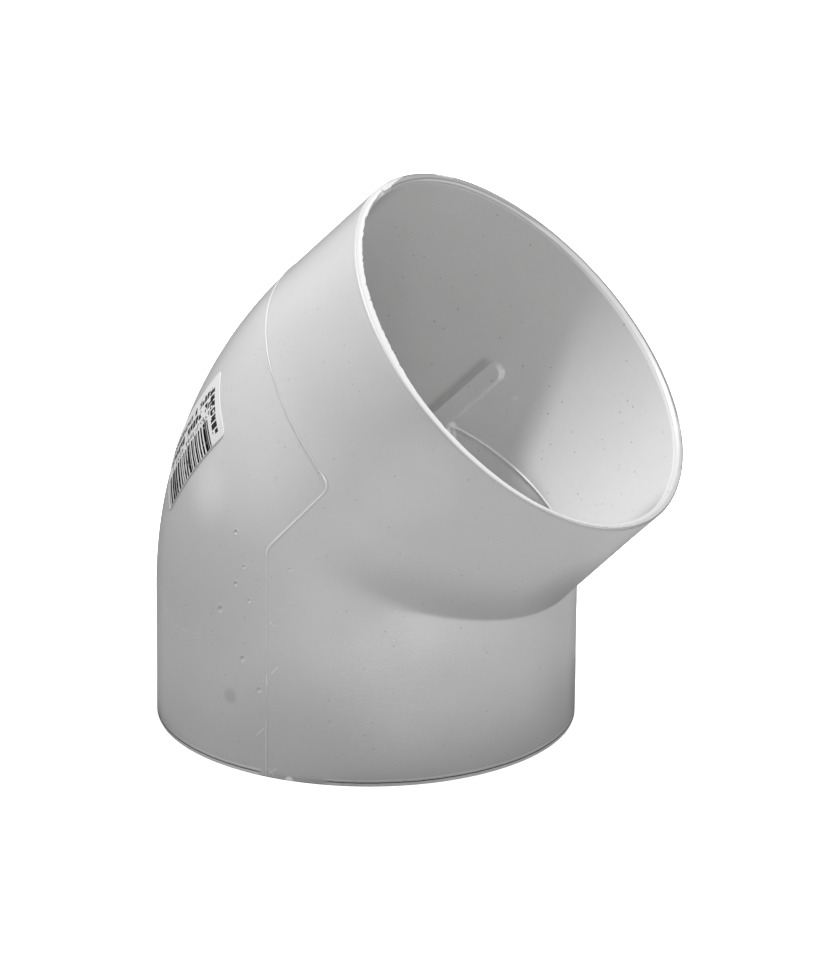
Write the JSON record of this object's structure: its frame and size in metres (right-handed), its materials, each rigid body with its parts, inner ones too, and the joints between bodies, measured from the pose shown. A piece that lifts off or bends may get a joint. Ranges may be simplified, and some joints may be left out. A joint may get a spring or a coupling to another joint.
{
  "type": "pvc conduit elbow",
  "caption": "Short 45 degree rigid PVC elbow with two equal plain sockets for large-bore conduit or drain pipe, smooth rounded heel, sharp crotch, inner pipe-stop ribs and a small film label.",
  "frame": {"origin": "centre of the lower mouth, on its rim plane", "axes": "+Z along the lower socket into the fitting, upper socket leans to +X, bend plane is XZ"},
  "size_m": [0.1178, 0.0944, 0.1238],
  "materials": {
    "moulded_pvc": "satin",
    "label_film": "satin"
  },
  "bodies": {
    "root": {"elbow_body": "moulded_pvc", "product_label": "label_film"}
  },
  "joints": []
}
